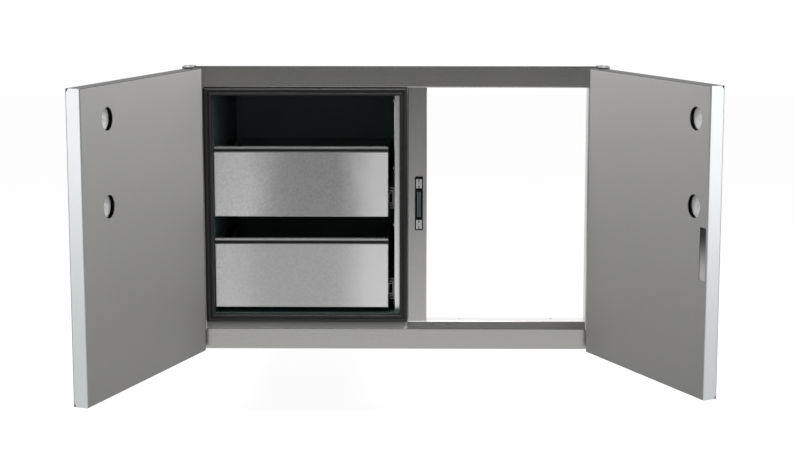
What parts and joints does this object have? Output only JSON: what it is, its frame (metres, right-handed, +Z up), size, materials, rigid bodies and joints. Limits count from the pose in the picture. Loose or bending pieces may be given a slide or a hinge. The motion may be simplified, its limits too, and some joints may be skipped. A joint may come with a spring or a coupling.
{
  "type": "door and drawer combo",
  "caption": "Stainless outdoor kitchen door and drawer unit: face frame with hinged double-wall doors, a gasketed pantry bay with sliding drawers and an open access bay beside it.",
  "frame": {"origin": "middle of the bottom rail's rear flange face, which lies on the island's front", "axes": "+X to the right seen from the front, +Y into the island, +Z up"},
  "size_m": [1.2492, 0.9949, 0.624],
  "materials": {
    "frame_steel": "satin brushed stainless sheet",
    "door_steel": "satin brushed stainless sheet, grain along the height",
    "drawer_steel": "satin brushed stainless sheet",
    "liner_coat": "dark semi-matt coat",
    "post_steel": "bright rolled sheet",
    "seal_rubber": "black moulded rubber",
    "slide_zinc": "bright zinc plate",
    "hinge_steel": "brushed plate",
    "fastener_steel": "plain stainless",
    "handle_steel": "satin brushed bar",
    "spacer_aluminium": "turned, dull",
    "bush_nylon": "moulded nylon",
    "cage_steel": "stamped steel",
    "lever_plastic": "black moulded",
    "catch_plastic": "black moulded",
    "catch_lug_metal": "bright",
    "pole_steel": "dark ground steel",
    "magnet_ferrite": "sintered ferrite"
  },
  "bodies": {
    "frame": {"frame_top_rail": "frame_steel", "frame_bottom_rail": "frame_steel", "frame_left_stile": "frame_steel", "frame_right_stile": "frame_steel", "centre_stile": "frame_steel", "pantry_left_wall": "liner_coat", "pantry_right_wall": "liner_coat", "pantry_ceiling": "liner_coat", "pantry_floor": "liner_coat", "pantry_back": "liner_coat", "slide_posts": "post_steel", "pantry_gasket": "seal_rubber", "door_bumpers": "seal_rubber", "hinge_brackets": "hinge_steel", "hinge_pins": "fastener_steel", "hinge_bracket_screws": "fastener_steel", "liner_rivets": "fastener_steel", "catch_screws": "fastener_steel", "slide_screws": "fastener_steel", "catch_housing": "catch_plastic", "catch_lugs": "catch_lug_metal", "catch_pole_plates": "pole_steel", "catch_magnet": "magnet_ferrite", "upper_slide_outer_members": "slide_zinc", "lower_slide_outer_members": "slide_zinc"},
    "left_door": {"left_door_inner_pan": "door_steel", "left_door_outer_skin": "door_steel", "left_door_stiffener": "door_steel", "left_door_hinge_blocks": "hinge_steel", "left_door_bushes": "bush_nylon", "left_door_handle": "handle_steel", "left_door_handle_spacers": "spacer_aluminium", "left_door_handle_screws": "fastener_steel"},
    "right_door": {"right_door_inner_pan": "door_steel", "right_door_outer_skin": "door_steel", "right_door_stiffener": "door_steel", "right_door_hinge_blocks": "hinge_steel", "right_door_bushes": "bush_nylon", "right_door_handle": "handle_steel", "right_door_handle_spacers": "spacer_aluminium", "right_door_handle_screws": "fastener_steel", "right_door_strike_plate": "hinge_steel"},
    "lower_drawer": {"lower_drawer_tray": "drawer_steel", "lower_drawer_front": "drawer_steel", "lower_drawer_screws": "fastener_steel", "lower_slide_inner_members": "slide_zinc"},
    "lower_slide_middle": {"lower_slide_middle_members": "slide_zinc", "lower_slide_ball_cages": "cage_steel"},
    "lower_left_lever": {"lower_left_slide_lever": "lever_plastic"},
    "lower_right_lever": {"lower_right_slide_lever": "lever_plastic"},
    "upper_drawer": {"upper_drawer_tray": "drawer_steel", "upper_drawer_front": "drawer_steel", "upper_drawer_screws": "fastener_steel", "upper_slide_inner_members": "slide_zinc"},
    "upper_slide_middle": {"upper_slide_middle_members": "slide_zinc", "upper_slide_ball_cages": "cage_steel"},
    "upper_left_lever": {"upper_left_slide_lever": "lever_plastic"},
    "upper_right_lever": {"upper_right_slide_lever": "lever_plastic"}
  },
  "joints": [
    {"name": "left_door_hinge", "type": "hinge", "parent": "frame", "child": "left_door", "pos_m": [-0.441, -0.048, 0.303], "axis": [0, 0, -1], "range_deg": [-110.8, 0]},
    {"name": "right_door_hinge", "type": "hinge", "parent": "frame", "child": "right_door", "pos_m": [0.441, -0.048, 0.303], "axis": [0, 0, 1], "range_deg": [-116.6, 0]},
    {"name": "lower_drawer_slide", "type": "slide", "parent": "frame", "child": "lower_drawer", "axis": [0, -1, 0], "range_m": [0, 0.4]},
    {"name": "lower_middle_slide", "type": "slide", "parent": "frame", "child": "lower_slide_middle", "axis": [0, -1, 0], "range_m": [0, 0.2]},
    {"name": "lower_left_lever_hinge", "type": "hinge", "parent": "lower_drawer", "child": "lower_left_lever", "pos_m": [-0.38605, 0.218, 0.118], "axis": [-1, 0, 0], "range_deg": [0, 10], "stiffness_Nm_per_rad": 0.01, "springref_deg": -2.86},
    {"name": "lower_right_lever_hinge", "type": "hinge", "parent": "lower_drawer", "child": "lower_right_lever", "pos_m": [-0.01295, 0.218, 0.118], "axis": [-1, 0, 0], "range_deg": [0, 10], "stiffness_Nm_per_rad": 0.01, "springref_deg": -2.86},
    {"name": "upper_drawer_slide", "type": "slide", "parent": "frame", "child": "upper_drawer", "axis": [0, -1, 0], "range_m": [0, 0.4]},
    {"name": "upper_middle_slide", "type": "slide", "parent": "frame", "child": "upper_slide_middle", "axis": [0, -1, 0], "range_m": [0, 0.2]},
    {"name": "upper_left_lever_hinge", "type": "hinge", "parent": "upper_drawer", "child": "upper_left_lever", "pos_m": [-0.38605, 0.218, 0.319], "axis": [-1, 0, 0], "range_deg": [0, 10], "stiffness_Nm_per_rad": 0.01, "springref_deg": -2.86},
    {"name": "upper_right_lever_hinge", "type": "hinge", "parent": "upper_drawer", "child": "upper_right_lever", "pos_m": [-0.01295, 0.218, 0.319], "axis": [-1, 0, 0], "range_deg": [0, 10], "stiffness_Nm_per_rad": 0.01, "springref_deg": -2.86}
  ],
  "couplings": [
    {"joint": "lower_middle_slide", "follows": "lower_drawer_slide", "ratio": 0.5},
    {"joint": "upper_middle_slide", "follows": "upper_drawer_slide", "ratio": 0.5}
  ]
}
